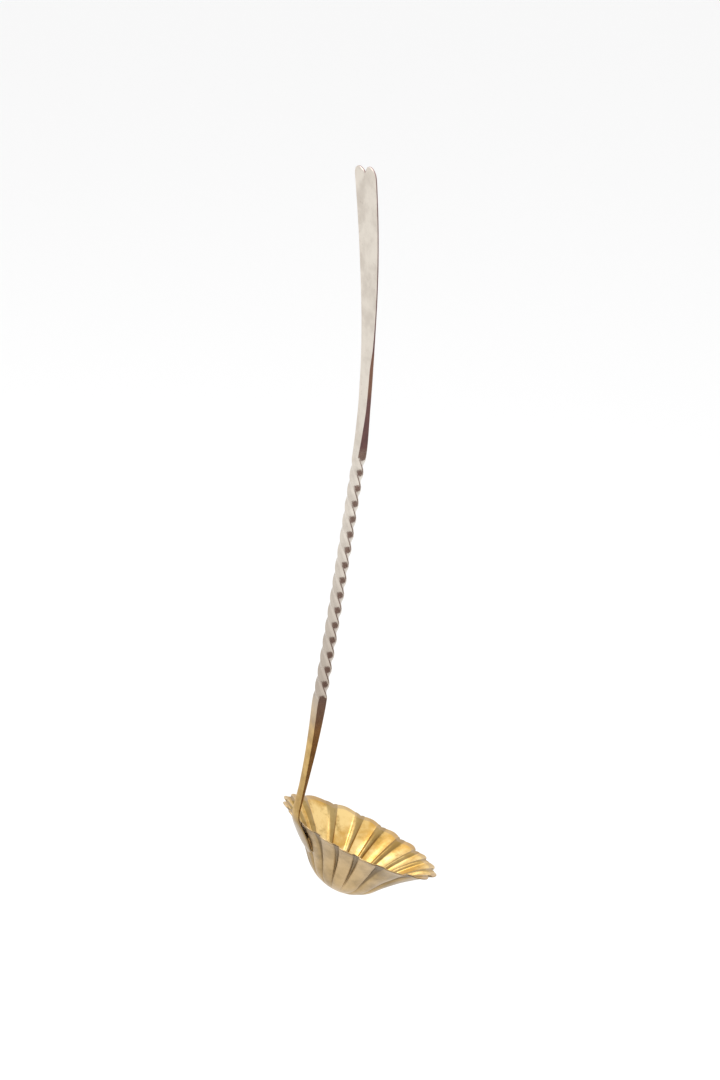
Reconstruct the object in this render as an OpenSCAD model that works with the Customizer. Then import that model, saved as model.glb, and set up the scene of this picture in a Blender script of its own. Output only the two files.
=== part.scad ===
// Serving ladle with a fluted sheet bowl and a forged handle that is twisted in the middle.
// It hangs from the notch at the top of the handle: the notch is the origin and +Z is up.
// The bowl is on the +X side, and the ladle is set out from its own rim, which lies level.

/* [Bowl] */
// Diameter over the flutes at the rim
bowl_d = 97; // [92:1:102]
// Radius of the round bottom, to the middle of the sheet
cup_r = 28.8; // [27:0.2:30]
// Slope of the wall where the round bottom ends, in degrees from level
cup_slope = 50.5; // [48:0.5:53]
// Slope of the wall where it turns out into the lip, in degrees from level
wall_slope = 36; // [34:1:38]
// Slope of the lip at the rim, in degrees from level
lip_slope = 18.5; // [15:0.5:25]
// Length of the lip along the sheet
lip_len = 4.6; // [3.5:0.1:5.5]
// Thickness of the sheet
sheet = 0.8; // [0.6:0.1:1]
// Depth of the creases between the flutes
crease_depth = 2; // [1.2:0.1:2.2]
// How far the rim is cut back at each crease
scallop = 3.4; // [2.8:0.1:4]
// How much further it is cut back where the handle comes in over it
handle_seat = 3.4; // [3:0.1:3.8]
// How much shorter the petals are at the pouring end
pour_cut = 1.6; // [0:0.1:2]

/* [Handle] */
// Side of the square bar at the top of the twist
bar = 5.6; // [5:0.1:6.2]
// Side of the square bar at the foot of the twist
bar_low = 6; // [5:0.1:6.4]
// Length of the foot that lies on the bowl
foot_len = 23; // [22:0.5:24.5]
// Width of the foot at its widest
foot_w = 11; // [9:0.5:11.5]
// Length of the shank between the bend and the twist
shank_len = 68.4; // [55:0.2:75]
// Length of the twisted stretch
twist_len = 139.2; // [110:0.2:170]
// Quarter turns in the twist, an even number so that the blade faces as the foot does
quarter_turns = 16; // [12:2:20]
// Length of the flattened blade above the twist
blade_len = 159.4; // [140:0.2:180]
// Width of the blade at its lobed tip
blade_w = 20.8; // [16:0.2:24]
// Thickness of the flattened blade
blade_t = 1.2; // [1:0.1:2]
// How far the line of the two lobes leans over the blade, in degrees
lobe_lean = 11; // [0:1:15]

/* [Hanging] */
// Tilt of the rim when the ladle hangs by its notch with its centre of gravity below
hang_tilt = 27.5; // [26:0.1:29]

/* [Hidden] */

// ---- Bowl: a meridian of three arcs, then flutes set out round it by eye ----

// Directions of the creases at the rim, in degrees from the pouring lip, for flutes of uneven
// width, and how far each swings round by the time it reaches the bottom.
// The crease at 180 is the one the handle comes in over.
crease_at = [2, 20, 38, 56, 79, 111, 128, 145, 162, 180, 201, 217, 232, 250, 276, 303, 327, 347];
swing = [-4, -4, 0, 2, 6, -4, 0, 0, 0, 0, -3, 3, 12, 20, 14, 6, 0, 0];
flutes = len(crease_at);
facets = 6;
rings = 21;
rim_r = bowl_d / 2;
cup_edge_r = cup_r * sin(cup_slope);
lip_r = lip_len / ((wall_slope - lip_slope) * PI / 180);
wall_edge_r = rim_r - lip_r * (sin(wall_slope) - sin(lip_slope));
wall_r = (wall_edge_r - cup_edge_r) / (sin(cup_slope) - sin(wall_slope));
cup_arc = cup_r * cup_slope * PI / 180;
wall_arc = cup_arc + wall_r * (cup_slope - wall_slope) * PI / 180;
meridian = wall_arc + lip_len;
cup_rise = cup_r * (1 - cos(cup_slope));
wall_rise = cup_rise + wall_r * (cos(wall_slope) - cos(cup_slope));
bottom_z = -wall_rise - lip_r * (cos(lip_slope) - cos(wall_slope));

// Slope of the wall, its radius and its height at a distance along the meridian from the bottom
function slope_at(d) =
    d < cup_arc ? d / cup_r * 180 / PI
    : d < wall_arc ? cup_slope - (d - cup_arc) / wall_r * 180 / PI
    : wall_slope - (d - wall_arc) / lip_r * 180 / PI;
function radius_at(d) =
    d < cup_arc ? cup_r * sin(slope_at(d))
    : d < wall_arc ? cup_edge_r + wall_r * (sin(cup_slope) - sin(slope_at(d)))
    : wall_edge_r + lip_r * (sin(wall_slope) - sin(slope_at(d)));
function height_at(d) = bottom_z + (
    d < cup_arc ? cup_r * (1 - cos(slope_at(d)))
    : d < wall_arc ? cup_rise + wall_r * (cos(slope_at(d)) - cos(cup_slope))
    : wall_rise + lip_r * (cos(slope_at(d)) - cos(wall_slope)));

// A facet line of the bowl: its direction at a share of the way up from the bottom to the rim,
// and how near it is to a crease, from 0 to 1
function crease_angle(k, up) =
    crease_at[k % flutes] + (k < flutes ? 0 : 360) + swing[k % flutes] * (1 - up);
function facet_angle(i, up) =
    let (k = floor(i / facets), part = (i % facets) / facets)
    crease_angle(k, up) * (1 - part) + crease_angle(k + 1, up) * part;
function nearness(i) = abs(2 * (i % facets) / facets - 1);

// How far the rim is cut back on a facet line: a scallop at each crease, the handle's seat and
// the shorter petals at the pouring end
function rim_cut(i) =
    scallop * pow(nearness(i), 2) + handle_seat * max(0, 1 - abs(facet_angle(i, 1) - 180) / 13)
    + pour_cut * pow(max(0, cos(facet_angle(i, 1))), 3);

// A point of the sheet at ring j on facet line i, on its inner (+1) or outer (-1) face
function ring_distance(i, j) = (meridian - rim_cut(i)) * j / rings;
function crease_at_depth(i, d) =
    crease_depth * pow(nearness(i), 2.5) * min(1, max(0, (d / meridian - 0.15) / 0.5));
function sheet_point(i, j, side) =
    let (
        d = ring_distance(i, j),
        inward = crease_at_depth(i, d) + side * sheet / 2,
        r = radius_at(d) - inward * sin(slope_at(d)),
        a = facet_angle(i, j / rings)
    )
    [r * cos(a), r * sin(a), height_at(d) + inward * cos(slope_at(d))];

module bowl() {
    lines = flutes * facets;
    inner = [for (j = [1:rings], i = [0:lines - 1]) sheet_point(i, j, 1)];
    outer = [for (j = [1:rings], i = [0:lines - 1]) sheet_point(i, j, -1)];
    poles = [[0, 0, bottom_z + sheet / 2], [0, 0, bottom_z - sheet / 2]];
    first_outer = len(inner);
    inner_pole = 2 * len(inner);
    outer_pole = inner_pole + 1;
    inner_faces = [for (j = [0:rings - 2], i = [0:lines - 1])
        let (n = (i + 1) % lines, b = j * lines, t = b + lines)
        each [[b + i, t + n, t + i], [b + i, b + n, t + n]]];
    outer_faces = [for (f = inner_faces) [for (v = [2, 1, 0]) f[v] + first_outer]];
    edge = (rings - 1) * lines;
    rim_faces = [for (i = [0:lines - 1])
        let (a = edge + i, b = edge + (i + 1) % lines)
        each [[a, b + first_outer, a + first_outer], [a, b, b + first_outer]]];
    pole_faces = [for (i = [0:lines - 1])
        let (n = (i + 1) % lines)
        each [[inner_pole, n, i], [outer_pole, first_outer + i, first_outer + n]]];
    color("goldenrod") hung()
        polyhedron(
            points = concat(inner, outer, poles),
            faces = concat(inner_faces, outer_faces, rim_faces, pole_faces),
            convexity = 6
        );
}

// ---- Handle: one bar, swept along a spine from the foot on the bowl up to the tip ----

// The foot's flat face lies on the chord between two points of the outer wall below the handle
foot_low = 0.57 * meridian;
foot_high = 0.9 * meridian;
seat_gap = 0.1;
function wall_point(d) = [
    -(radius_at(d) + sheet / 2 * sin(slope_at(d))),
    height_at(d) - sheet / 2 * cos(slope_at(d))
];
foot_run = wall_point(foot_high) - wall_point(foot_low);
foot_lean = atan2(-foot_run[0], foot_run[1]);
spine_start = wall_point(foot_low) - seat_gap * [cos(foot_lean), sin(foot_lean)];

// Lean away from the bowl, in degrees from the bowl's axis, at points along the bar
bend_len = 8;
bend_end = foot_len + bend_len;
twist_start = bend_end + shank_len;
twist_end = twist_start + twist_len;
tip = twist_end + blade_len;
leans = [
    [0, foot_lean], [foot_len, foot_lean], [bend_end, 11.2], [twist_start, 19.3],
    [twist_end, 20.5], [twist_end + 10, 23.9], [tip, 34.8]
];

// Width across the ladle, and thickness, at points along the bar
widths = [
    [0, foot_w * 0.24], [2, foot_w * 0.52], [5, foot_w * 0.76], [9, foot_w * 0.92], [13, foot_w],
    [foot_len - 3, foot_w * 0.94], [foot_len + 2, foot_w * 0.64], [bend_end, 6.3],
    [bend_end + 12, 5.3], [bend_end + 26, 5.1], [twist_start - 4, bar_low],
    [twist_start, bar_low], [twist_end, bar], [twist_end + 26, 8], [twist_end + 50, 9.2],
    [twist_end + 60, 11.4], [twist_end + 82, 14.5], [twist_end + 105, 17.4],
    [twist_end + 130, 19.6], [tip - 9, blade_w], [tip, blade_w]
];
depths = [
    [0, 0.7], [6, 1.5], [foot_len, 1.8], [bend_end, 1.9], [bend_end + 14, 2.5],
    [bend_end + 36, 4], [twist_start - 4, bar_low], [twist_start, bar_low], [twist_end, bar],
    [twist_end + 12, 4.5], [twist_end + 26, 3.1], [twist_end + 50, 2.7], [twist_end + 61, 1.6],
    [twist_end + 75, blade_t], [tip, blade_t]
];
lobe_r = blade_w / 4;
function width_at(s) = lookup(s, widths);
function depth_at(s) = lookup(s, depths);
function turn_at(s) =
    -90 * quarter_turns * min(1, max(0, (s - twist_start) / twist_len));
// The bar keeps its bowl side on the spine up to the twist, and its middle from there on
function middle_at(s) = s < twist_start ? depth_at(s) / 2 : bar_low / 2;

stations = concat(
    [0, 0.6, 1.5, 3], [for (s = [5:3:foot_len - 1.5]) s],
    [for (k = [0:8]) foot_len + bend_len * k / 8],
    [for (k = [1:9]) bend_end + (shank_len - 4) * k / 9],
    [for (k = [0:quarter_turns * 6]) twist_start + twist_len * k / (quarter_turns * 6)],
    [for (k = [1:26]) twist_end + blade_len * k / 26]
);

// Spine points by adding up the steps between stations, each along its mean lean
function step(a, b) = let (lean = lookup((a + b) / 2, leans)) (b - a) * [-sin(lean), cos(lean)];
spine = [
    for (i = 0, p = spine_start; i < len(stations);
         p = i + 1 < len(stations) ? p + step(stations[i], stations[i + 1]) : p, i = i + 1) p
];

// The bar's section is a rectangle with its arrises taken off, turned by the twist
arris = 0.28;
function section(s) =
    let (
        w = width_at(s) / 2, d = depth_at(s) / 2, c = min(arris, 0.35 * d),
        corners = [[w, -d + c], [w, d - c], [w - c, d], [c - w, d],
                   [-w, d - c], [-w, c - d], [c - w, -d], [w - c, -d]],
        t = turn_at(s)
    )
    [for (q = corners) [q[0] * cos(t) - q[1] * sin(t), q[0] * sin(t) + q[1] * cos(t)]];
function bar_point(i, q) =
    let (s = stations[i], lean = lookup(s, leans), out = middle_at(s) + q[1])
    [spine[i][0] - out * cos(lean), q[0], spine[i][1] - out * sin(lean)];

module bar_sweep() {
    last = len(stations) - 1;
    points = [for (i = [0:last], q = section(stations[i])) bar_point(i, q)];
    sides = [for (i = [0:last - 1], k = [0:7])
        let (a = 8 * i + k, b = 8 * i + (k + 1) % 8)
        each [[a, b + 8, b], [a, a + 8, b + 8]]];
    ends = [[for (k = [0:7]) k], [for (k = [7:-1:0]) 8 * last + k]];
    polyhedron(points = points, faces = concat(sides, ends), convexity = 8);
}

// The tip is two round lobes with the hanging notch between them, a little below the bar's end
tip_lean = lookup(tip, leans);
tip_middle = spine[len(spine) - 1] - middle_at(tip) * [cos(tip_lean), sin(tip_lean)];
lobe_drop = 1.7;
notch_depth = lobe_drop + lobe_r - 0.9;
notch = tip_middle - notch_depth * [-sin(tip_lean), cos(tip_lean)];

module tip_cutter() {
    cut = lobe_r + 0.05;
    translate([tip_middle[0], 0, tip_middle[1]])
        rotate([0, -tip_lean, 0]) rotate([90, 0, 90])
            linear_extrude(height = 12, center = true)
                translate([0, -lobe_drop - cut]) rotate(-lobe_lean)
                    difference() {
                        translate([-blade_w, 0]) square([2 * blade_w, 3 * cut]);
                        for (side = [-1, 1])
                            translate([side * lobe_r, 0]) circle(r = cut, $fn = 64);
                    }
}

module handle() {
    color("silver") hung()
        difference() {
            bar_sweep();
            tip_cutter();
        }
}

// ---- Braze: the filler metal between the flat foot and the fluted wall ----

module braze_seam() {
    first_line = 9 * facets - 2;
    columns = 5;
    low_ring = ceil(rings * 0.59);
    rows = floor(rings * 0.84) - low_ring + 1;
    foot_normal = [cos(foot_lean), sin(foot_lean)];
    wall = [for (j = [0:rows - 1], i = [0:columns - 1])
        sheet_point(first_line + i, low_ring + j, -1)];
    // The same points carried straight out to the flat face of the foot
    face = [for (p = wall)
        let (out = ([p[0], p[2]] - spine_start) * foot_normal)
        p - out * [foot_normal[0], 0, foot_normal[1]]];
    count = rows * columns;
    wall_faces = [for (j = [0:rows - 2], i = [0:columns - 2])
        let (a = j * columns + i, t = a + columns)
        each [[a, t + 1, t], [a, a + 1, t + 1]]];
    face_faces = [for (f = wall_faces) [for (v = [2, 1, 0]) f[v] + count]];
    border = concat(
        [for (i = [0:columns - 2]) i],
        [for (j = [0:rows - 2]) j * columns + columns - 1],
        [for (i = [columns - 1:-1:1]) (rows - 1) * columns + i],
        [for (j = [rows - 1:-1:1]) j * columns]
    );
    side_faces = [for (k = [0:len(border) - 1])
        let (a = border[k], b = border[(k + 1) % len(border)])
        each [[a, b + count, b], [a, a + count, b + count]]];
    color("gold") hung()
        polyhedron(
            points = concat(wall, face),
            faces = concat(wall_faces, face_faces, side_faces),
            convexity = 4
        );
}

// ---- From the ladle's own rim to the way it hangs ----

module hung() {
    rotate([0, hang_tilt, 0]) translate([-notch[0], 0, -notch[1]]) children();
}

bowl();
handle();
braze_seam();
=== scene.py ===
"""A brass ladle with a fluted bowl and a twisted handle, hanging by the notch at its tip."""

import math

import bpy
import numpy as np
from mathutils import Matrix, Vector


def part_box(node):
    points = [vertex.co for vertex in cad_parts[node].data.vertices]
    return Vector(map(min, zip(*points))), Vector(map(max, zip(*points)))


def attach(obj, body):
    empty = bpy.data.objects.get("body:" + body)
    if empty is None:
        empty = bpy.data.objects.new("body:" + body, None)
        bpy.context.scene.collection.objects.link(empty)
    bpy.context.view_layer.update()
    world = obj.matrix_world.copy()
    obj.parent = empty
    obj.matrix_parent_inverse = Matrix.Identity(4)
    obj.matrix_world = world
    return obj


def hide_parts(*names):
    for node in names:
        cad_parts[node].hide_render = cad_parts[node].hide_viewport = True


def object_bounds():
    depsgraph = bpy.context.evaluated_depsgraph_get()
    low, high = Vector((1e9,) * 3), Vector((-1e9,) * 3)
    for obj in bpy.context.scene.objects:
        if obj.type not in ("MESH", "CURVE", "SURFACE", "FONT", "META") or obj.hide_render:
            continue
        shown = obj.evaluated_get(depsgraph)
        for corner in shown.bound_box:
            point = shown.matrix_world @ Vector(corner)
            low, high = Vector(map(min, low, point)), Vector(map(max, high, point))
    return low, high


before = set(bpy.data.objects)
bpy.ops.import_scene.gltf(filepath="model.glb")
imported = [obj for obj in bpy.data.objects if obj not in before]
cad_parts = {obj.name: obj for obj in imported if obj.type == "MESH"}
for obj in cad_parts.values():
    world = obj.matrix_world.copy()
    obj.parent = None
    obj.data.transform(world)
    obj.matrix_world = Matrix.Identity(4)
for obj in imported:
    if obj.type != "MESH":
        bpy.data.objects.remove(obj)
cad_low, cad_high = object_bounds()

# ---- The bowl ----
# A round of brass sheet beaten into eighteen flutes of uneven width, with a petal at the end of
# each. The creases are struck in from outside with a blunt punch, and the last few millimetres
# of the petals are turned out into a flatter lip. Bright and yellow inside, with painted shade on
# the ridges and the lip. Darker outside, partly dulled and partly painted shade, with painted
# shade in the grooves.

MM = 0.001
bowl_across = 97.0
sheet = 0.8
cup_radius = 28.8
cup_slope = math.radians(50.5)
flare_slope = math.radians(36)
lip_slope = math.radians(18.5)
lip_length = 4.6
crease_depth = 2.2
crease_flank = 0.2
crease_start = 0.13
crease_fade = 0.5
lip_start = 0.78
pole_crowding = 0.9
scallop = 3.4
handle_seat = 3.4
pour_cut = 1.6
# Directions of the creases at the rim, in degrees round the bowl from the pouring lip, and how
# far each one swings round on its way down to the bottom
creases = np.array([2, 20, 38, 56, 79, 111, 128, 145, 162, 180, 201, 217, 232, 250, 276, 303,
                    327, 347.0])
swings = np.array([-4, -4, 0, 2, 6, -4, 0, 0, 0, 0, -3, 3, 12, 20, 14, 6, 0, 0.0])
lines_per_flute = 24
bowl_rings = 96
hang_tilt = math.radians(27.5)

flutes = len(creases)
cup_edge = cup_radius * math.sin(cup_slope)
lip_radius = lip_length / (flare_slope - lip_slope)
flare_edge = bowl_across / 2 - lip_radius * (math.sin(flare_slope) - math.sin(lip_slope))
flare_radius = (flare_edge - cup_edge) / (math.sin(cup_slope) - math.sin(flare_slope))
cup_length = cup_radius * cup_slope
flare_length = cup_length + flare_radius * (cup_slope - flare_slope)
meridian = flare_length + lip_length
cup_rise = cup_radius * (1 - math.cos(cup_slope))
flare_rise = cup_rise + flare_radius * (math.cos(flare_slope) - math.cos(cup_slope))
bottom_level = -flare_rise - lip_radius * (math.cos(lip_slope) - math.cos(flare_slope))


def ease(x):
    """0 below 0, 1 above 1, and a smooth step between."""
    u = np.clip(x, 0, 1)
    return u * u * (3 - 2 * u)


def wall_slope(d):
    """Slope of the bowl's wall at a distance along its meridian from the bottom."""
    flare = cup_slope - (d - cup_length) / flare_radius
    lip = flare_slope - (d - flare_length) / lip_radius
    return np.where(d < cup_length, d / cup_radius, np.where(d < flare_length, flare, lip))


def wall_radius(d):
    rise = np.sin(wall_slope(d))
    flare = cup_edge + flare_radius * (math.sin(cup_slope) - rise)
    lip = flare_edge + lip_radius * (math.sin(flare_slope) - rise)
    return np.where(d < cup_length, cup_radius * rise, np.where(d < flare_length, flare, lip))


def wall_height(d):
    level = np.cos(wall_slope(d))
    flare = cup_rise + flare_radius * (level - math.cos(cup_slope))
    lip = flare_rise + lip_radius * (level - math.cos(flare_slope))
    return bottom_level + np.where(d < cup_length, cup_radius * (1 - level),
                                   np.where(d < flare_length, flare, lip))


def soft_waves(a, d, seed, waves, size):
    """Slow unevenness left by hand work: a few seeded waves over direction a and distance d."""
    draw = np.random.default_rng(seed)
    total = np.zeros(np.broadcast(a, d).shape)
    for _ in range(waves):
        turns = draw.integers(2, 15)
        along = draw.uniform(-0.45, 0.45)
        phase = draw.uniform(0, 2 * math.pi)
        total = total + np.sin(turns * a + along * d + phase)
    return size * total / math.sqrt(waves)


def between_creases(values, wrap):
    """Spreads one value for each crease evenly over the lines of the flutes between them."""
    part = np.arange(lines_per_flute) / lines_per_flute
    ends = np.append(values[1:], values[0] + wrap)
    return (values[:, None] + (ends - values)[:, None] * part[None, :]).ravel()


def ridge_rise(near, d):
    """From 0 on a flute to 1 on the flat top of the ridge, which narrows towards the bottom."""
    half_top = 0.05 + 0.17 * np.clip((d / meridian - 0.25) / 0.75, 0, 1)
    return ease((near - (1 - half_top - crease_flank)) / crease_flank)


def bowl_middle(angle, near, flute, share):
    """Middle of the sheet on each line, at a share of the way from the bottom to the rim."""
    draw = np.random.default_rng(11)
    tip_trim = draw.uniform(0.0, 0.5, flutes)[flute]
    seat = handle_seat * np.clip(1 - np.abs(np.degrees(angle) % 360 - 180) / 13, 0, 1)
    pour = pour_cut * np.clip(np.cos(angle), 0, 1) ** 3
    cut = tip_trim * (1 - near) + scallop * near**1.7 + seat + pour
    d = (meridian - cut) * share
    belly = 0.45 * near**2
    depth = crease_depth * np.clip((d / meridian - crease_start) / crease_fade, 0, 1)
    depth = depth * (1 - 0.5 * ease((d / meridian - lip_start) / (1 - lip_start)))
    inward = depth * (belly + 0.5 * ridge_rise(near, d))
    uneven = soft_waves(angle, d, 5, 7, 0.09) * np.clip(d / 20, 0, 1) * np.clip(
        (meridian - d) / 4, 0.3, 1)
    inward = inward + uneven
    slope = wall_slope(d)
    r = wall_radius(d) - inward * np.sin(slope)
    return np.stack([r * np.cos(angle), r * np.sin(angle), wall_height(d) + inward * np.cos(slope)],
                    axis=-1)


def hung(points, shift):
    """Takes points from the level rim's frame, in millimetres, to where the ladle hangs."""
    turn = np.array(Matrix.Rotation(hang_tilt, 3, "Y"))
    return np.asarray(points) @ turn.T * MM + np.array(shift)


def mesh_piece(name, points, faces, marks):
    """A new object from points and faces, smooth, with one float attribute for each mark."""
    mesh = bpy.data.meshes.new(name)
    mesh.from_pydata([tuple(p) for p in points], [], [tuple(f) for f in faces])
    mesh.validate()
    mesh.polygons.foreach_set("use_smooth", [True] * len(mesh.polygons))
    for mark, values in marks.items():
        layer = mesh.attributes.new(mark, "FLOAT", "POINT")
        layer.data.foreach_set("value", np.asarray(values, np.float32))
    mesh.update()
    piece = bpy.data.objects.new(name, mesh)
    bpy.context.scene.collection.objects.link(piece)
    return piece


def closed_rows(rows, count):
    """Quads between rows of count points that each close into a ring."""
    i = np.arange(count)
    n = (i + 1) % count
    return [quad for j in range(rows - 1) for quad in
            np.stack([j * count + i, j * count + n, (j + 1) * count + n, (j + 1) * count + i], 1)]


line_count = flutes * lines_per_flute
near = np.abs(2 * (np.arange(line_count) % lines_per_flute) / lines_per_flute - 1)
flute = np.arange(line_count) // lines_per_flute
share = ((np.arange(bowl_rings) + 1) / bowl_rings) ** pole_crowding
grid_angle, grid_share = np.meshgrid(np.radians(between_creases(creases, 360)), share)
grid_angle = grid_angle + np.radians(between_creases(swings, 0)) * (1 - grid_share)
grid_near = np.broadcast_to(near, grid_angle.shape)
grid_flute = np.broadcast_to(flute, grid_angle.shape)
middle = bowl_middle(grid_angle, grid_near, grid_flute, grid_share)
around = np.roll(middle, -1, axis=1) - np.roll(middle, 1, axis=1)
upward = np.gradient(middle, axis=0)
inner_normal = np.cross(upward, around)
inner_normal /= np.linalg.norm(inner_normal, axis=-1, keepdims=True)
inner_normal *= np.sign(-np.sum(inner_normal * middle * np.array([1, 1, 0]), axis=-1).mean())
edge_out = upward[-1] / np.linalg.norm(upward[-1], axis=-1, keepdims=True)
lip_rows = [middle[-1] + sheet / 2 * (math.cos(t) * inner_normal[-1] + math.sin(t) * edge_out)
            for t in np.radians([30, 60, 90, 120, 150])]
inner = middle + sheet / 2 * inner_normal
outer = middle - sheet / 2 * inner_normal
rows = np.concatenate([inner, np.array(lip_rows), outer[::-1]])
points = rows.reshape(-1, 3)
pole_in = len(points)
points = np.vstack([points, [0, 0, bottom_level + sheet / 2], [0, 0, bottom_level - sheet / 2]])
faces = closed_rows(len(rows), line_count)
last = (len(rows) - 1) * line_count
for i in range(line_count):
    n = (i + 1) % line_count
    faces.append([pole_in, n, i])
    faces.append([pole_in + 1, last + i, last + n])

inside = np.concatenate([np.ones(bowl_rings), np.linspace(1, 0, 7)[1:-1], np.zeros(bowl_rings)])
inside = np.append(np.repeat(inside, line_count), [1, 0])
to_edge = (1 - np.concatenate([share, np.ones(5), share[::-1]])) * meridian
to_edge = np.append(np.repeat(to_edge, line_count), [meridian, meridian])
band = ridge_rise(grid_near, grid_share * meridian)
crease_mark = np.append(np.concatenate([band, np.tile(band[-1], (5, 1)), band[::-1]]), [0, 0])

tilted = hung(points, (0, 0, 0))
bowl_low, bowl_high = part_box("bowl")
shift = (np.array(bowl_low) + np.array(bowl_high)) / 2 - (tilted.min(0) + tilted.max(0)) / 2
shift[1] = 0
bowl = mesh_piece("bowl_sheet", hung(points, shift), faces,
                  {"inside": inside, "to_edge": to_edge, "crease": crease_mark})


class Shade:
    """A value in a material: arithmetic on it adds Math nodes."""

    def __init__(self, finish, socket):
        self.finish = finish
        self.socket = socket

    def math(self, operation, *values):
        return self.finish.node("Math", {"operation": operation}, dict(enumerate(values)))

    def __add__(self, other):
        return self.math("ADD", self, other)

    def __sub__(self, other):
        return self.math("SUBTRACT", self, other)

    def __mul__(self, other):
        return self.math("MULTIPLY", self, other)

    def __radd__(self, other):
        return self.math("ADD", other, self)

    def __rsub__(self, other):
        return self.math("SUBTRACT", other, self)

    def __rmul__(self, other):
        return self.math("MULTIPLY", other, self)

    def step(self, low, high):
        """0 where this is under low, 1 over high, smooth between; low may be the larger."""
        return self.finish.node("MapRange", {"interpolation_type": "SMOOTHSTEP"}, {
            "Value": self, "From Min": low, "From Max": high, "To Min": 0.0, "To Max": 1.0})


class Finish:
    """A material being made, on Blender's Principled shader."""

    def __init__(self, name):
        self.material = bpy.data.materials.new(name)
        self.material.use_nodes = True
        self.tree = self.material.node_tree
        self.shader = self.tree.nodes["Principled BSDF"]

    def node(self, kind, settings, values, take=None):
        """Adds a node: its settings first, then the values or links of its sockets."""
        made = self.tree.nodes.new("ShaderNode" + kind)
        for name, value in settings.items():
            if name == "stops":
                while len(made.color_ramp.elements) < len(value):
                    made.color_ramp.elements.new(1.0)
                for element, (place, colour) in zip(made.color_ramp.elements, value):
                    element.position = place
                    element.color = (*colour, 1)
            else:
                setattr(made, name, value)
        for key, value in values.items():
            self.put(self.find(made.inputs, key), value)
        return Shade(self, self.find(made.outputs, take or 0))

    def find(self, sockets, key):
        shown = [s for s in sockets if s.enabled]
        return shown[key] if isinstance(key, int) else next(s for s in shown if s.name == key)

    def put(self, socket, value):
        if isinstance(value, Shade):
            self.tree.links.new(value.socket, socket)
        elif isinstance(value, tuple) and socket.type == "RGBA":
            socket.default_value = (*value, 1)
        else:
            socket.default_value = value

    def set(self, name, value):
        self.put(self.shader.inputs[name], value)

    def mark(self, name):
        return self.node("Attribute", {"attribute_name": name}, {}, "Fac")

    def place(self):
        return self.node("TexCoord", {}, {}, "Object")

    def noise(self, where, scale, detail=3.0, rough=0.55, kind="FBM"):
        return self.node("TexNoise", {"noise_type": kind, "normalize": True}, {
            "Vector": where, "Scale": scale, "Detail": detail, "Roughness": rough}, "Fac")

    def stretched(self, where, scale, turn=(0, 0, 0)):
        return self.node("Mapping", {}, {"Vector": where, "Rotation": turn, "Scale": scale})

    def mix(self, share, a, b, how="MIX"):
        return self.node("Mix", {"data_type": "RGBA", "blend_type": how}, {
            "Factor": share, "A": a, "B": b}, "Result")

    def bump(self, height, depth, strength=1.0):
        return self.node("Bump", {}, {"Strength": strength, "Distance": depth, "Height": height})


brass = Finish("bowl_brass")
brass.set("Metallic", 1.0)
where = brass.place()
inside_face = brass.mark("inside")
edge_distance = brass.mark("to_edge")
crease_near = brass.mark("crease")
blotch = brass.noise(where, 55.0, 4.0, 0.6)
cloud = brass.noise(where, 140.0, 5.0, 0.65)
grain = brass.noise(where, 900.0, 4.0, 0.7)
gold = brass.mix(blotch.step(0.38, 0.62), (0.96, 0.70, 0.30), (0.68, 0.40, 0.10))
gold = brass.mix(cloud.step(0.52, 0.70) * 0.6, gold, (0.42, 0.25, 0.06))
# Painted shade: the ridges inside are painted as darker olive bands, fading out towards the bottom.
ridge_painted_shade = (crease_near + 0.3 * (cloud - 0.5)).step(0.02, 0.5) * edge_distance.step(50.0, 36.0)
gold = brass.mix(ridge_painted_shade * 0.7, gold, (0.24, 0.16, 0.06))
# Painted shade: the flatter lip along the rim is painted darker and greyer than the rest of the
# inside.
lip = (edge_distance + 1.6 * (cloud - 0.5)).step(3.3, 2.3)
gold = brass.mix(lip * 0.55, gold, (0.50, 0.36, 0.23))
# The outside is darker than the inside: partly dulled brass, partly painted shade for the underside.
dulled_and_shaded = brass.mix(blotch.step(0.3, 0.7), (0.52, 0.37, 0.19), (0.27, 0.185, 0.085))
dulled_and_shaded = brass.mix(cloud.step(0.5, 0.75) * 0.45, dulled_and_shaded, (0.26, 0.20, 0.13))
# Painted shade: the grooves between the flutes outside are painted dark, widest towards the rim.
groove_painted_shade = crease_near.step(0.35, 0.9) * edge_distance.step(44.0, 24.0)
dulled_and_shaded = brass.mix(groove_painted_shade * 0.75, dulled_and_shaded, (0.12, 0.08, 0.04))
brass.set("Base Color", brass.mix(inside_face.step(0.3, 0.7), dulled_and_shaded, gold))
brass.set("Roughness", 0.28 + 0.14 * cloud)
brass.set("Normal", brass.bump(0.6 * blotch + 0.25 * cloud + 0.15 * grain, 0.0009, 0.35))

bowl.data.materials.append(brass.material)
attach(bowl, "root")
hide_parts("bowl")

# ---- The handle ----
# One length of bar forged from end to end: a thin leaf that hugs the bowl, a tapered shank, a
# square stretch twisted cold while held in a vice, and a blade drawn out flat above it that
# ends in two round lobes, one set lower. Plated once, and worn back to yellow below the twist.

bar = 5.6
bar_low = 6.0
foot_length = 23.0
foot_width = 11.0
bend_length = 8.0
shank_length = 68.4
twist_length = 139.2
quarter_turns = 16
blade_length = 159.4
blade_width = 20.8
blade_thick = 1.2
lobe_drop = 1.7
lobe_lean = math.radians(11)
lobe_radius = 5.12
lobe_centre = 5.25
notch_round = 0.3
heel_round = 2.6
foot_low = 0.57
foot_high = 0.90
seat_gap = 0.1

bend_end = foot_length + bend_length
twist_start = bend_end + shank_length
twist_end = twist_start + twist_length
tip = twist_end + blade_length


def wall_point(d):
    """Outer face of the plain wall on the handle's side, as (x, z)."""
    slope = float(wall_slope(d))
    return np.array([-(float(wall_radius(d)) + sheet / 2 * math.sin(slope)),
                     float(wall_height(d)) - sheet / 2 * math.cos(slope)])


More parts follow.
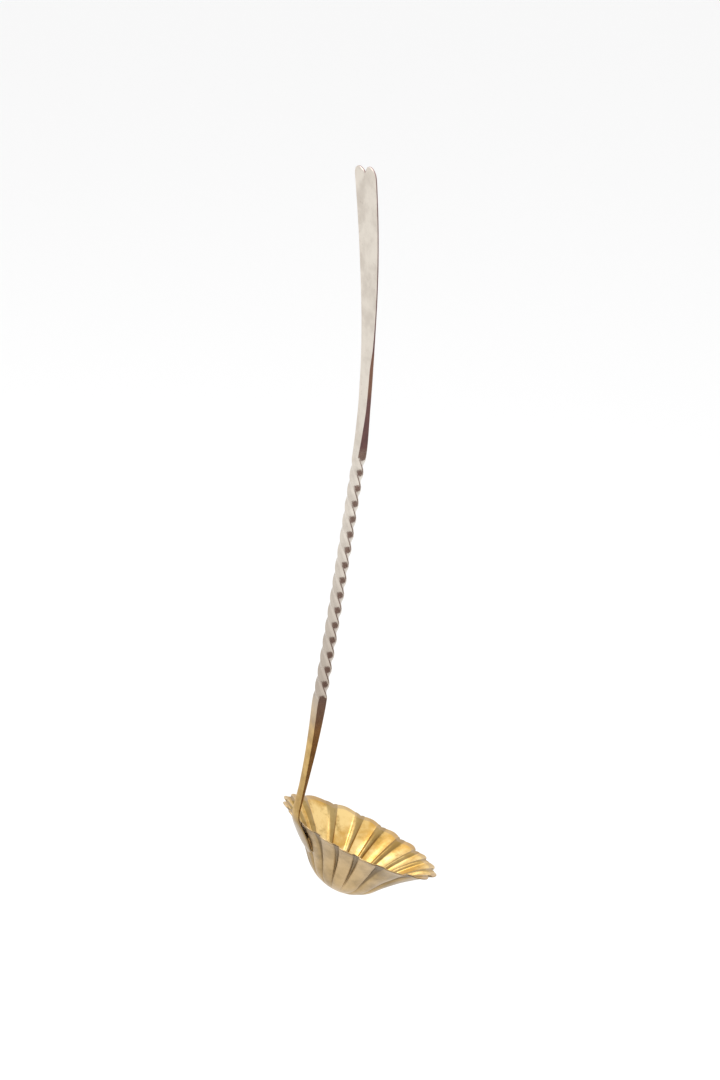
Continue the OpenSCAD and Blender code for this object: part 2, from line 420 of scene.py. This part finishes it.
foot_run = wall_point(foot_high * meridian) - wall_point(foot_low * meridian)
foot_lean = math.degrees(math.atan2(-foot_run[0], foot_run[1]))
spine_start = wall_point(foot_low * meridian) - seat_gap * np.array(
    [math.cos(math.radians(foot_lean)), math.sin(math.radians(foot_lean))])


def blended(s, marks, over):
    """Looks a value up along the bar, with the corners between marks smoothed over a length."""
    at, value = np.array(marks, float).T
    return np.mean([np.interp(s + k, at, value) for k in np.linspace(-over, over, 9)], axis=0)


def lean_at(s):
    return np.radians(blended(s, [
        (0, foot_lean), (foot_length, foot_lean), (bend_end, 11.2), (twist_start, 19.3),
        (twist_end, 20.5), (twist_end + 10, 23.9), (tip, 34.8)], 1.2))


def half_width(s):
    return blended(s, [
        (0, 2.7), (2, 5.7), (5, 8.4), (9, 10.1), (13, foot_width), (foot_length - 3, 10.4),
        (foot_length + 2, 7.2), (bend_end, 6.3), (bend_end + 12, 5.3), (bend_end + 26, 5.1),
        (twist_start - 4, bar_low), (twist_start, bar_low), (twist_end, bar),
        (twist_end + 26, 8), (twist_end + 50, 9.2), (twist_end + 60, 11.4),
        (twist_end + 82, 14.5), (twist_end + 105, 17.4), (twist_end + 130, 19.6),
        (tip - 9, blade_width), (tip, blade_width)], 1.5) / 2


def half_depth(s):
    return blended(s, [
        (0, 0.8), (6, 1.5), (foot_length, 1.8), (bend_end, 1.9), (bend_end + 14, 2.5),
        (bend_end + 36, 4), (twist_start - 4, bar_low), (twist_start, bar_low), (twist_end, bar),
        (twist_end + 12, 4.5), (twist_end + 26, 3.1), (twist_end + 50, 2.7),
        (twist_end + 61, 1.6), (twist_end + 75, blade_thick), (tip, blade_thick)], 2.0) / 2


def turn_at(s):
    part = np.clip((s - twist_start) / twist_length, 0, 1)
    return -math.radians(90) * quarter_turns * part


fine = np.linspace(0, tip, 8001)
leans = lean_at(fine)
step = fine[1] - fine[0]
mean_lean = (leans[1:] + leans[:-1]) / 2
spine_x = spine_start[0] + np.concatenate([[0], np.cumsum(-np.sin(mean_lean) * step)])
spine_z = spine_start[1] + np.concatenate([[0], np.cumsum(np.cos(mean_lean) * step)])


def on_bar(x, s, y):
    """Bends and twists points of the straight bar: x across it, s along it, y away from the bowl."""
    turn = turn_at(s)
    across = x * np.cos(turn) - y * np.sin(turn)
    out = x * np.sin(turn) + y * np.cos(turn)
    middle = np.where(s < twist_start, half_depth(s), bar_low / 2)
    lean = np.interp(s, fine, leans)
    return np.stack([np.interp(s, fine, spine_x) - (middle + out) * np.cos(lean), across,
                     np.interp(s, fine, spine_z) - (middle + out) * np.sin(lean)], axis=-1)


def tip_line(share):
    """How far below the tip the end of the blade lies, at a share of its half width."""
    x = np.sqrt((np.abs(share) * (blade_width / 2)) ** 2 + notch_round**2)
    reach = np.clip(lobe_radius**2 - (x - lobe_centre) ** 2, 0, None)
    lean = lobe_centre * math.sin(lobe_lean) * np.sign(share) * ease(np.abs(share) / 0.3)
    return lobe_drop + 0.1 + lean + lobe_radius - np.sqrt(reach)


columns = 40
theta = np.linspace(0, 1, columns // 2 + 1)
half = 0.5 + 0.5 * -np.cos(math.pi * theta)
column_share = np.concatenate([-half[::-1], half[1:]])
tip_span = 14.0
foot_span = 6.0
stations = np.concatenate([
    np.linspace(0, foot_span, 16)[:-1], np.linspace(foot_span, twist_start, 110)[:-1],
    np.linspace(twist_start, twist_end, quarter_turns * 24 + 1)[:-1],
    np.linspace(twist_end, tip - tip_span, 120)[:-1],
    tip - tip_span * (1 - np.linspace(0, 1, 30) ** 0.8)])


def bar_stations(share):
    """Where each station lies along the bar, for a column at a share of the half width."""
    end = tip - tip_line(share)
    start = heel_round * (1 - np.sqrt(np.clip(1 - share**2, 0, 1)))
    s = stations
    top = tip - tip_span
    s = np.where(s > top, top + (end - top) * (s - top) / tip_span, s)
    return np.where(s < foot_span, start + (foot_span - start) * s / foot_span, s)


def arris(s):
    """Radius of the bar's corners."""
    wanted = blended(s, [(0, 0.8), (foot_length, 0.75), (bend_end + 8, 0.45),
                         (twist_start - 6, 0.4), (twist_start + 8, 0.95), (twist_end - 8, 0.9),
                         (twist_end + 2, 0.35), (tip, 0.45)], 2.0)
    return np.minimum(wanted, 0.8 * half_depth(s))


# The flat pattern: a grid of columns and stations, less the corner radius all round its edge
grid_s = np.stack([bar_stations(q) for q in column_share], axis=1)
outline_x = column_share[None, :] * half_width(grid_s)
rim_path = ([(i, columns) for i in range(len(stations))]
            + [(len(stations) - 1, k) for k in range(columns - 1, -1, -1)]
            + [(i, 0) for i in range(len(stations) - 2, -1, -1)]
            + [(0, k) for k in range(1, columns)])
path_xs = np.array([(outline_x[i, k], grid_s[i, k]) for i, k in rim_path])
along_path = np.roll(path_xs, -1, axis=0) - np.roll(path_xs, 1, axis=0)
path_normal = np.stack([along_path[:, 1], -along_path[:, 0]], axis=1)
path_normal /= np.linalg.norm(path_normal, axis=1, keepdims=True)
corner = arris(path_xs[:, 1])
base_xs = path_xs - path_normal * corner[:, None]
flat_x = outline_x * (1 - arris(grid_s) / half_width(grid_s))
flat_s = grid_s.copy()
for (i, k), (x, s) in zip(rim_path, base_xs):
    flat_x[i, k] = x
    flat_s[i, k] = s
end_row = flat_s[-1].copy()
first_row = flat_s[0].copy()
for k in range(columns + 1):
    stretch = (end_row[k] - (tip - tip_span)) / (grid_s[-1, k] - (tip - tip_span))
    high = grid_s[:, k] > tip - tip_span
    flat_s[high, k] = (tip - tip_span) + (grid_s[high, k] - (tip - tip_span)) * stretch
    low = grid_s[:, k] < foot_span
    squeeze = (foot_span - first_row[k]) / (foot_span - grid_s[0, k])
    flat_s[low, k] = foot_span - (foot_span - grid_s[low, k]) * squeeze
for i in range(len(stations)):
    edge_right, edge_left = flat_x[i, columns], flat_x[i, 0]
    flat_x[i] = edge_left + (edge_right - edge_left) * (column_share + 1) / 2
for (i, k), (x, s) in zip(rim_path, base_xs):
    flat_x[i, k] = x
    flat_s[i, k] = s

crown = blended(flat_s, [(0, 0.55), (foot_length, 0.5), (bend_end + 6, 0.25),
                         (bend_end + 25, 0.06), (twist_start, 0.0), (twist_end, 0.0),
                         (twist_end + 60, 0.12), (tip, 0.15)], 3.0)
share_across = flat_x / half_width(flat_s)
front_y = half_depth(flat_s) * (1 - crown * share_across**2)
back_y = -half_depth(flat_s) * (1 - 0.12 * crown * share_across**2)
front = on_bar(flat_x, flat_s, front_y)
back = on_bar(flat_x, flat_s, back_y)

arc = np.radians([22.5, 45, 67.5])
side_steps = np.linspace(1, -1, 12)
path_count = len(rim_path)
base_front = np.array([front_y[i, k] for i, k in rim_path])
base_back = np.array([back_y[i, k] for i, k in rim_path])
strip = []
for t in arc:
    strip.append((base_xs + path_normal * (corner * math.sin(t))[:, None],
                  base_front - corner * (1 - math.cos(t))))
for level in side_steps:
    high = base_front - corner
    low = base_back + corner
    strip.append((path_xs, (high + low) / 2 + (high - low) / 2 * level))
for t in arc[::-1]:
    strip.append((base_xs + path_normal * (corner * math.sin(t))[:, None],
                  base_back + corner * (1 - math.cos(t))))
strip_points = np.array([on_bar(xs[:, 0], xs[:, 1], y) for xs, y in strip])

station_count = len(stations)
front_ids = np.arange(station_count * (columns + 1)).reshape(station_count, columns + 1)
back_ids = front_ids + front_ids.size
strip_first = 2 * front_ids.size
strip_ids = strip_first + np.arange(len(strip) * path_count).reshape(len(strip), path_count)
strip_ids = np.vstack([[front_ids[i, k] for i, k in rim_path], strip_ids,
                       [back_ids[i, k] for i, k in rim_path]])
faces = []
for i in range(station_count - 1):
    for k in range(columns):
        a, b = front_ids[i], front_ids[i + 1]
        faces.append([a[k], b[k], b[k + 1], a[k + 1]])
        a, b = back_ids[i], back_ids[i + 1]
        faces.append([a[k], a[k + 1], b[k + 1], b[k]])
for j in range(len(strip_ids) - 1):
    for p in range(path_count):
        n = (p + 1) % path_count
        faces.append([strip_ids[j, p], strip_ids[j, n], strip_ids[j + 1, n], strip_ids[j + 1, p]])

points = np.vstack([front.reshape(-1, 3), back.reshape(-1, 3), strip_points.reshape(-1, 3)])
along_mark = np.concatenate([flat_s.ravel(), flat_s.ravel(),
                             np.concatenate([xs[:, 1] for xs, _ in strip])])
face_mark = np.concatenate([np.ones(front_ids.size), -np.ones(front_ids.size),
                            np.repeat([y for y in np.concatenate([
                                np.cos(arc), side_steps * 0, -np.cos(arc[::-1])])], path_count)])
side_mark = 1 - np.abs(face_mark)
handle = mesh_piece("handle_bar", hung(points, shift), faces,
                    {"along": along_mark, "side": side_mark})

plate = Finish("handle_metal")
plate.set("Metallic", 1.0)
where = plate.place()
along = plate.mark("along")
side = plate.mark("side")
streak = plate.noise(plate.stretched(where, (1, 1, 0.12)), 260.0, 4.0, 0.6)
smudge = plate.noise(where, 90.0, 4.0, 0.6)
fleck = plate.noise(where, 420.0, 3.0, 0.7)
silver = plate.mix(smudge.step(0.35, 0.7), (0.76, 0.70, 0.62), (0.62, 0.56, 0.49))
silver = plate.mix(fleck.step(0.62, 0.78) * 0.4, silver, (0.40, 0.33, 0.28))
# The silver turns darker and greyer towards the lower end of the twist.
lower_twist_darkening = (along + 30 * (smudge - 0.5)).step(twist_end - 20, twist_start - 10)
silver = plate.mix(lower_twist_darkening * 0.75, silver, (0.40, 0.33, 0.27))
yellow = plate.mix(smudge.step(0.3, 0.7), (0.70, 0.47, 0.18), (0.42, 0.26, 0.09))
worn = (along + 14 * (smudge - 0.5)).step(twist_start + 4, twist_start - 30)
# Painted shade: the brass is darker on the foot, where it sits under the rim against the bowl.
yellow = plate.mix(along.step(foot_length + 10, foot_length - 2), yellow, (0.29, 0.20, 0.095))
metal = plate.mix(worn, silver, yellow)
# Painted shade: the side faces of the blade are painted a dark purple-brown, lighter on the sides of
# the neck.
side_shade = plate.mix(fleck.step(0.4, 0.7), (0.31, 0.14, 0.15), (0.20, 0.09, 0.12))
neck_side_lighter = (along + 6 * (fleck - 0.5)).step(twist_end + 30, twist_end + 40)
neck_side_lighter = neck_side_lighter * (along + 6 * (fleck - 0.5)).step(twist_end + 62, twist_end + 54)
side_shade = plate.mix(neck_side_lighter, side_shade, (0.46, 0.24, 0.15))
on_blade = along.step(twist_end + 2, twist_end + 6)
metal = plate.mix(side.step(0.5, 0.9) * on_blade * 0.8, metal, side_shade)
plate.set("Base Color", metal)
plate.set("Roughness", 0.16 + 0.14 * smudge + 0.22 * on_blade)
plate.set("Normal", plate.bump(0.5 * streak + 0.5 * fleck, 0.0004, 0.25))
handle.data.materials.append(plate.material)
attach(handle, "root")
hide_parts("handle")

# ---- The braze ----
# Yellow filler metal, run in under the leaf while the bowl was hot. It fills the hollows of
# the flutes behind the leaf, and only its rough edge can be seen.

filler = Finish("braze_filler")
filler.set("Metallic", 1.0)
where = filler.place()
pits = filler.noise(where, 500.0, 4.0, 0.65)
filler.set("Base Color", filler.mix(pits.step(0.3, 0.7), (0.66, 0.47, 0.22), (0.36, 0.25, 0.12)))
filler.set("Roughness", 0.42 + 0.2 * pits)
filler.set("Normal", filler.bump(pits, 0.0006, 0.6))
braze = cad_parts["braze_seam"]
braze.data.materials.clear()
braze.data.materials.append(filler.material)

# ---- The studio ----
# A pale floor far enough below that no shadow reads on it, a large soft light overhead and to
# the left, and a dark flag beside the camera that gives the turned metal its dark side.

look_at = Vector((0.0024, -0.0054, -0.1985))
camera_distance = 1.354
camera_lens = 85
camera_turn = math.radians(-31.41)
camera_dip = math.radians(23.66)
camera_roll = math.radians(2.45)
floor_drop = 0.8
floor_reach = 30.0

floor_mesh = bpy.data.meshes.new("floor")
floor_level = cad_low.z - floor_drop
floor_corners = [(x * floor_reach, y * floor_reach, floor_level)
                 for x, y in [(-1, -1), (1, -1), (1, 1), (-1, 1)]]
floor_mesh.from_pydata(floor_corners, [], [(0, 1, 2, 3)])
floor = bpy.data.objects.new("floor", floor_mesh)
bpy.context.scene.collection.objects.link(floor)
paper = Finish("floor_paper")
paper.set("Base Color", (0.93, 0.93, 0.93))
paper.set("Roughness", 0.9)
floor_mesh.materials.append(paper.material)


def soft_light(name, place, target, size, power, colour):
    """A large square light that points at a target."""
    lamp = bpy.data.lights.new(name, "AREA")
    lamp.shape = "RECTANGLE"
    lamp.size, lamp.size_y = size
    lamp.energy = power
    lamp.color = colour
    held = bpy.data.objects.new(name, lamp)
    held.location = place
    held.rotation_euler = (Vector(target) - Vector(place)).to_track_quat("-Z", "Y").to_euler()
    bpy.context.scene.collection.objects.link(held)
    held.visible_camera = False
    return held


soft_light("overhead_light", (-0.6, 0.5, 1.6), look_at, (1.6, 1.6), 26, (1, 1, 1))

world = bpy.data.worlds.new("studio_air")
bpy.context.scene.world = world
world.use_nodes = True
air = world.node_tree.nodes["Background"]
air.inputs["Color"].default_value = (1, 1, 1, 1)
air.inputs["Strength"].default_value = 1.0

flag_mesh = bpy.data.meshes.new("flag")
flag_mesh.from_pydata([(-1, -1, 0), (1, -1, 0), (1, 1, 0), (-1, 1, 0)], [], [(0, 1, 2, 3)])
flag = bpy.data.objects.new("flag", flag_mesh)
flag_place = Vector((0.52, -0.78, -0.62))
flag.location = flag_place
flag.rotation_euler = (look_at - flag_place).to_track_quat("-Z", "Y").to_euler()
flag.scale = (0.72, 0.62, 1)
bpy.context.scene.collection.objects.link(flag)
cloth = Finish("flag_cloth")
cloth.set("Base Color", (0.20, 0.135, 0.12))
cloth.set("Roughness", 0.9)
flag_mesh.materials.append(cloth.material)
flag.visible_camera = False
flag.visible_shadow = False
flag.visible_diffuse = False

lens = bpy.data.cameras.new("camera")
lens.lens = camera_lens
lens.sensor_width = 36
camera = bpy.data.objects.new("camera", lens)
stand = (Matrix.Rotation(camera_turn, 4, "Z") @ Matrix.Rotation(math.pi / 2 - camera_dip, 4, "X")
         @ Matrix.Rotation(camera_roll, 4, "Z"))
camera.matrix_world = Matrix.Translation(look_at + stand @ Vector((0, 0, camera_distance))) @ stand
bpy.context.scene.collection.objects.link(camera)
bpy.context.scene.camera = camera
bpy.context.scene.view_settings.view_transform = "Standard"
